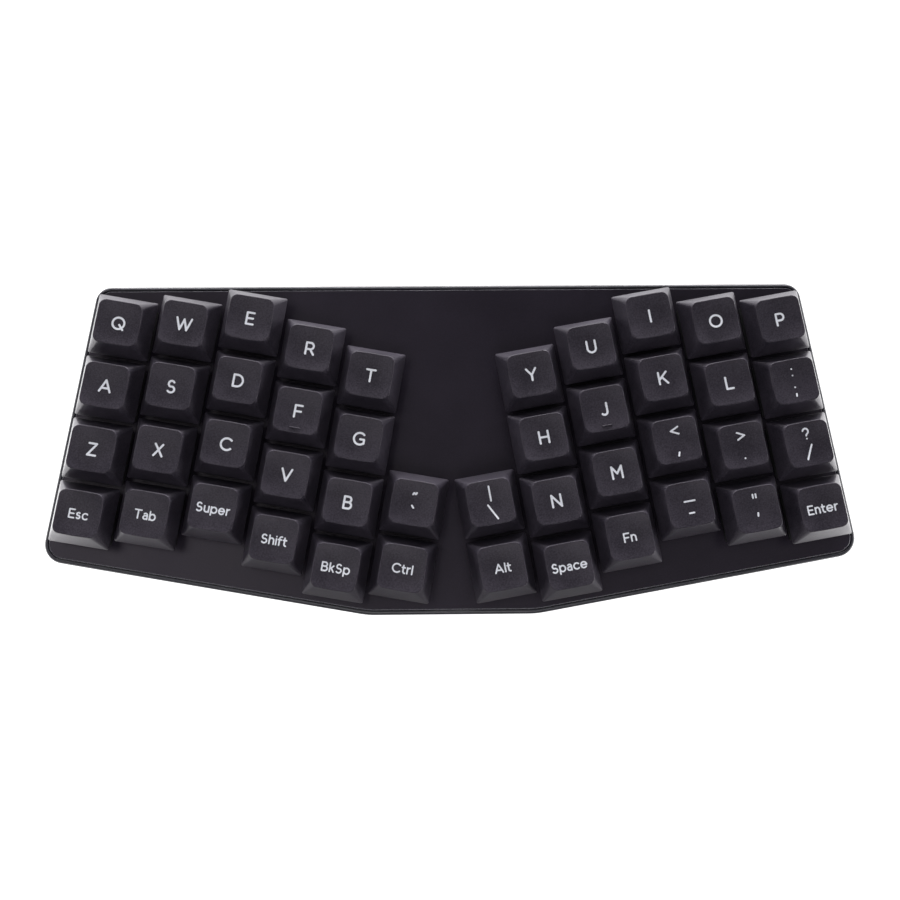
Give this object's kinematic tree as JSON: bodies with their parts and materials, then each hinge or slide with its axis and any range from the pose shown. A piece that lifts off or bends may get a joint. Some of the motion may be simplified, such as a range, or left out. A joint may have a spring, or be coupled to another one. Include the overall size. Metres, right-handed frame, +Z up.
{
  "type": "ergonomic keyboard",
  "caption": "Compact ergonomic mechanical keyboard: staggered columns of low square keys in angled hands, on a flat plate in a slim rubber-footed tray.",
  "frame": {"origin": "on the table, below the middle of the case's footprint", "axes": "+X to the typist's right, +Y away from the typist, +Z up"},
  "size_m": [0.2442, 0.101, 0.028],
  "materials": {
    "keycap_plastic": "fine satin texture, charcoal",
    "legend_print": "pale grey legends",
    "stem_plastic": "smooth moulded, brown",
    "plate_metal": "satin black anodised",
    "case_plastic": "black, fine moulded texture with a smooth rim",
    "foot_rubber": "matt",
    "switch_plastic": "smooth moulded, black",
    "spring_steel": "bright wire",
    "contact_metal": "stamped copper alloy",
    "socket_plastic": "moulded, black",
    "board_laminate": "solder mask",
    "chip_plastic": "moulded, black",
    "standoff_brass": "turned",
    "screw_steel": "dark plated",
    "usb_steel": "stamped and plated",
    "reset_plastic": "moulded"
  },
  "bodies": {
    "keyboard_base": {"bottom_case": "case_plastic", "top_plate": "plate_metal", "plate_standoffs": "standoff_brass", "case_screws": "screw_steel", "rubber_feet": "foot_rubber", "circuit_board": "board_laminate", "switch_lower_housings": "switch_plastic", "switch_upper_housings": "switch_plastic", "switch_springs": "spring_steel", "switch_contacts": "contact_metal", "hot_swap_sockets": "socket_plastic", "switch_diodes": "chip_plastic", "controller_electronics": "chip_plastic", "usb_receptacle": "usb_steel", "reset_switch_body": "reset_plastic"},
    "key_q": {"key_q": "keycap_plastic"},
    "key_a": {"key_a": "keycap_plastic"},
    "key_z": {"key_z": "keycap_plastic"},
    "key_esc": {"key_esc": "keycap_plastic"},
    "key_w": {"key_w": "keycap_plastic"},
    "key_s": {"key_s": "keycap_plastic"},
    "key_x": {"key_x": "keycap_plastic"},
    "key_tab": {"key_tab": "keycap_plastic"},
    "key_e": {"key_e": "keycap_plastic"},
    "key_d": {"key_d": "keycap_plastic"},
    "key_c": {"key_c": "keycap_plastic"},
    "key_super": {"key_super": "keycap_plastic"},
    "key_r": {"key_r": "keycap_plastic"},
    "key_f": {"key_f": "keycap_plastic"},
    "key_v": {"key_v": "keycap_plastic"},
    "key_shift": {"key_shift": "keycap_plastic"},
    "key_t": {"key_t": "keycap_plastic"},
    "key_g": {"key_g": "keycap_plastic"},
    "key_b": {"key_b": "keycap_plastic"},
    "key_backspace": {"key_backspace": "keycap_plastic"},
    "key_backtick": {"key_backtick": "keycap_plastic"},
    "key_ctrl": {"key_ctrl": "keycap_plastic"},
    "key_p": {"key_p": "keycap_plastic"},
    "key_semicolon": {"key_semicolon": "keycap_plastic"},
    "key_slash": {"key_slash": "keycap_plastic"},
    "key_enter": {"key_enter": "keycap_plastic"},
    "key_o": {"key_o": "keycap_plastic"},
    "key_l": {"key_l": "keycap_plastic"},
    "key_period": {"key_period": "keycap_plastic"},
    "key_quote": {"key_quote": "keycap_plastic"},
    "key_i": {"key_i": "keycap_plastic"},
    "key_k": {"key_k": "keycap_plastic"},
    "key_comma": {"key_comma": "keycap_plastic"},
    "key_minus": {"key_minus": "keycap_plastic"},
    "key_u": {"key_u": "keycap_plastic"},
    "key_j": {"key_j": "keycap_plastic"},
    "key_m": {"key_m": "keycap_plastic"},
    "key_fn": {"key_fn": "keycap_plastic"},
    "key_y": {"key_y": "keycap_plastic"},
    "key_h": {"key_h": "keycap_plastic"},
    "key_n": {"key_n": "keycap_plastic"},
    "key_space": {"key_space": "keycap_plastic"},
    "key_backslash": {"key_backslash": "keycap_plastic"},
    "key_alt": {"key_alt": "keycap_plastic"},
    "reset_plunger": {"reset_plunger": "reset_plastic"}
  },
  "joints": [
    {"name": "reset_plunger_press", "type": "slide", "parent": "keyboard_base", "child": "reset_plunger", "axis": [0, 0, 1], "range_m": [0, 0.00025], "stiffness_N_per_m": 2000, "springref_m": -0.0003},
    {"name": "key_q_press", "type": "slide", "parent": "keyboard_base", "child": "key_q", "axis": [0, 0, -1], "range_m": [0, 0.004], "stiffness_N_per_m": 100, "springref_m": -0.0025, "deforming": ["switch_springs"]},
    {"name": "key_a_press", "type": "slide", "parent": "keyboard_base", "child": "key_a", "axis": [0, 0, -1], "range_m": [0, 0.004], "stiffness_N_per_m": 100, "springref_m": -0.0025, "deforming": ["switch_springs"]},
    {"name": "key_z_press", "type": "slide", "parent": "keyboard_base", "child": "key_z", "axis": [0, 0, -1], "range_m": [0, 0.004], "stiffness_N_per_m": 100, "springref_m": -0.0025, "deforming": ["switch_springs"]},
    {"name": "key_esc_press", "type": "slide", "parent": "keyboard_base", "child": "key_esc", "axis": [0, 0, -1], "range_m": [0, 0.004], "stiffness_N_per_m": 100, "springref_m": -0.0025, "deforming": ["switch_springs"]},
    {"name": "key_w_press", "type": "slide", "parent": "keyboard_base", "child": "key_w", "axis": [0, 0, -1], "range_m": [0, 0.004], "stiffness_N_per_m": 100, "springref_m": -0.0025, "deforming": ["switch_springs"]},
    {"name": "key_s_press", "type": "slide", "parent": "keyboard_base", "child": "key_s", "axis": [0, 0, -1], "range_m": [0, 0.004], "stiffness_N_per_m": 100, "springref_m": -0.0025, "deforming": ["switch_springs"]},
    {"name": "key_x_press", "type": "slide", "parent": "keyboard_base", "child": "key_x", "axis": [0, 0, -1], "range_m": [0, 0.004], "stiffness_N_per_m": 100, "springref_m": -0.0025, "deforming": ["switch_springs"]},
    {"name": "key_tab_press", "type": "slide", "parent": "keyboard_base", "child": "key_tab", "axis": [0, 0, -1], "range_m": [0, 0.004], "stiffness_N_per_m": 100, "springref_m": -0.0025, "deforming": ["switch_springs"]},
    {"name": "key_e_press", "type": "slide", "parent": "keyboard_base", "child": "key_e", "axis": [0, 0, -1], "range_m": [0, 0.004], "stiffness_N_per_m": 100, "springref_m": -0.0025, "deforming": ["switch_springs"]},
    {"name": "key_d_press", "type": "slide", "parent": "keyboard_base", "child": "key_d", "axis": [0, 0, -1], "range_m": [0, 0.004], "stiffness_N_per_m": 100, "springref_m": -0.0025, "deforming": ["switch_springs"]},
    {"name": "key_c_press", "type": "slide", "parent": "keyboard_base", "child": "key_c", "axis": [0, 0, -1], "range_m": [0, 0.004], "stiffness_N_per_m": 100, "springref_m": -0.0025, "deforming": ["switch_springs"]},
    {"name": "key_super_press", "type": "slide", "parent": "keyboard_base", "child": "key_super", "axis": [0, 0, -1], "range_m": [0, 0.004], "stiffness_N_per_m": 100, "springref_m": -0.0025, "deforming": ["switch_springs"]},
    {"name": "key_r_press", "type": "slide", "parent": "keyboard_base", "child": "key_r", "axis": [0, 0, -1], "range_m": [0, 0.004], "stiffness_N_per_m": 100, "springref_m": -0.0025, "deforming": ["switch_springs"]},
    {"name": "key_f_press", "type": "slide", "parent": "keyboard_base", "child": "key_f", "axis": [0, 0, -1], "range_m": [0, 0.004], "stiffness_N_per_m": 100, "springref_m": -0.0025, "deforming": ["switch_springs"]},
    {"name": "key_v_press", "type": "slide", "parent": "keyboard_base", "child": "key_v", "axis": [0, 0, -1], "range_m": [0, 0.004], "stiffness_N_per_m": 100, "springref_m": -0.0025, "deforming": ["switch_springs"]},
    {"name": "key_shift_press", "type": "slide", "parent": "keyboard_base", "child": "key_shift", "axis": [0, 0, -1], "range_m": [0, 0.004], "stiffness_N_per_m": 100, "springref_m": -0.0025, "deforming": ["switch_springs"]},
    {"name": "key_t_press", "type": "slide", "parent": "keyboard_base", "child": "key_t", "axis": [0, 0, -1], "range_m": [0, 0.004], "stiffness_N_per_m": 100, "springref_m": -0.0025, "deforming": ["switch_springs"]},
    {"name": "key_g_press", "type": "slide", "parent": "keyboard_base", "child": "key_g", "axis": [0, 0, -1], "range_m": [0, 0.004], "stiffness_N_per_m": 100, "springref_m": -0.0025, "deforming": ["switch_springs"]},
    {"name": "key_b_press", "type": "slide", "parent": "keyboard_base", "child": "key_b", "axis": [0, 0, -1], "range_m": [0, 0.004], "stiffness_N_per_m": 100, "springref_m": -0.0025, "deforming": ["switch_springs"]},
    {"name": "key_backspace_press", "type": "slide", "parent": "keyboard_base", "child": "key_backspace", "axis": [0, 0, -1], "range_m": [0, 0.004], "stiffness_N_per_m": 100, "springref_m": -0.0025, "deforming": ["switch_springs"]},
    {"name": "key_backtick_press", "type": "slide", "parent": "keyboard_base", "child": "key_backtick", "axis": [0, 0, -1], "range_m": [0, 0.004], "stiffness_N_per_m": 100, "springref_m": -0.0025, "deforming": ["switch_springs"]},
    {"name": "key_ctrl_press", "type": "slide", "parent": "keyboard_base", "child": "key_ctrl", "axis": [0, 0, -1], "range_m": [0, 0.004], "stiffness_N_per_m": 100, "springref_m": -0.0025, "deforming": ["switch_springs"]},
    {"name": "key_p_press", "type": "slide", "parent": "keyboard_base", "child": "key_p", "axis": [0, 0, -1], "range_m": [0, 0.004], "stiffness_N_per_m": 100, "springref_m": -0.0025, "deforming": ["switch_springs"]},
    {"name": "key_semicolon_press", "type": "slide", "parent": "keyboard_base", "child": "key_semicolon", "axis": [0, 0, -1], "range_m": [0, 0.004], "stiffness_N_per_m": 100, "springref_m": -0.0025, "deforming": ["switch_springs"]},
    {"name": "key_slash_press", "type": "slide", "parent": "keyboard_base", "child": "key_slash", "axis": [0, 0, -1], "range_m": [0, 0.004], "stiffness_N_per_m": 100, "springref_m": -0.0025, "deforming": ["switch_springs"]},
    {"name": "key_enter_press", "type": "slide", "parent": "keyboard_base", "child": "key_enter", "axis": [0, 0, -1], "range_m": [0, 0.004], "stiffness_N_per_m": 100, "springref_m": -0.0025, "deforming": ["switch_springs"]},
    {"name": "key_o_press", "type": "slide", "parent": "keyboard_base", "child": "key_o", "axis": [0, 0, -1], "range_m": [0, 0.004], "stiffness_N_per_m": 100, "springref_m": -0.0025, "deforming": ["switch_springs"]},
    {"name": "key_l_press", "type": "slide", "parent": "keyboard_base", "child": "key_l", "axis": [0, 0, -1], "range_m": [0, 0.004], "stiffness_N_per_m": 100, "springref_m": -0.0025, "deforming": ["switch_springs"]},
    {"name": "key_period_press", "type": "slide", "parent": "keyboard_base", "child": "key_period", "axis": [0, 0, -1], "range_m": [0, 0.004], "stiffness_N_per_m": 100, "springref_m": -0.0025, "deforming": ["switch_springs"]},
    {"name": "key_quote_press", "type": "slide", "parent": "keyboard_base", "child": "key_quote", "axis": [0, 0, -1], "range_m": [0, 0.004], "stiffness_N_per_m": 100, "springref_m": -0.0025, "deforming": ["switch_springs"]},
    {"name": "key_i_press", "type": "slide", "parent": "keyboard_base", "child": "key_i", "axis": [0, 0, -1], "range_m": [0, 0.004], "stiffness_N_per_m": 100, "springref_m": -0.0025, "deforming": ["switch_springs"]},
    {"name": "key_k_press", "type": "slide", "parent": "keyboard_base", "child": "key_k", "axis": [0, 0, -1], "range_m": [0, 0.004], "stiffness_N_per_m": 100, "springref_m": -0.0025, "deforming": ["switch_springs"]},
    {"name": "key_comma_press", "type": "slide", "parent": "keyboard_base", "child": "key_comma", "axis": [0, 0, -1], "range_m": [0, 0.004], "stiffness_N_per_m": 100, "springref_m": -0.0025, "deforming": ["switch_springs"]},
    {"name": "key_minus_press", "type": "slide", "parent": "keyboard_base", "child": "key_minus", "axis": [0, 0, -1], "range_m": [0, 0.004], "stiffness_N_per_m": 100, "springref_m": -0.0025, "deforming": ["switch_springs"]},
    {"name": "key_u_press", "type": "slide", "parent": "keyboard_base", "child": "key_u", "axis": [0, 0, -1], "range_m": [0, 0.004], "stiffness_N_per_m": 100, "springref_m": -0.0025, "deforming": ["switch_springs"]},
    {"name": "key_j_press", "type": "slide", "parent": "keyboard_base", "child": "key_j", "axis": [0, 0, -1], "range_m": [0, 0.004], "stiffness_N_per_m": 100, "springref_m": -0.0025, "deforming": ["switch_springs"]},
    {"name": "key_m_press", "type": "slide", "parent": "keyboard_base", "child": "key_m", "axis": [0, 0, -1], "range_m": [0, 0.004], "stiffness_N_per_m": 100, "springref_m": -0.0025, "deforming": ["switch_springs"]},
    {"name": "key_fn_press", "type": "slide", "parent": "keyboard_base", "child": "key_fn", "axis": [0, 0, -1], "range_m": [0, 0.004], "stiffness_N_per_m": 100, "springref_m": -0.0025, "deforming": ["switch_springs"]},
    {"name": "key_y_press", "type": "slide", "parent": "keyboard_base", "child": "key_y", "axis": [0, 0, -1], "range_m": [0, 0.004], "stiffness_N_per_m": 100, "springref_m": -0.0025, "deforming": ["switch_springs"]},
    {"name": "key_h_press", "type": "slide", "parent": "keyboard_base", "child": "key_h", "axis": [0, 0, -1], "range_m": [0, 0.004], "stiffness_N_per_m": 100, "springref_m": -0.0025, "deforming": ["switch_springs"]},
    {"name": "key_n_press", "type": "slide", "parent": "keyboard_base", "child": "key_n", "axis": [0, 0, -1], "range_m": [0, 0.004], "stiffness_N_per_m": 100, "springref_m": -0.0025, "deforming": ["switch_springs"]},
    {"name": "key_space_press", "type": "slide", "parent": "keyboard_base", "child": "key_space", "axis": [0, 0, -1], "range_m": [0, 0.004], "stiffness_N_per_m": 100, "springref_m": -0.0025, "deforming": ["switch_springs"]},
    {"name": "key_backslash_press", "type": "slide", "parent": "keyboard_base", "child": "key_backslash", "axis": [0, 0, -1], "range_m": [0, 0.004], "stiffness_N_per_m": 100, "springref_m": -0.0025, "deforming": ["switch_springs"]},
    {"name": "key_alt_press", "type": "slide", "parent": "keyboard_base", "child": "key_alt", "axis": [0, 0, -1], "range_m": [0, 0.004], "stiffness_N_per_m": 100, "springref_m": -0.0025, "deforming": ["switch_springs"]}
  ]
}
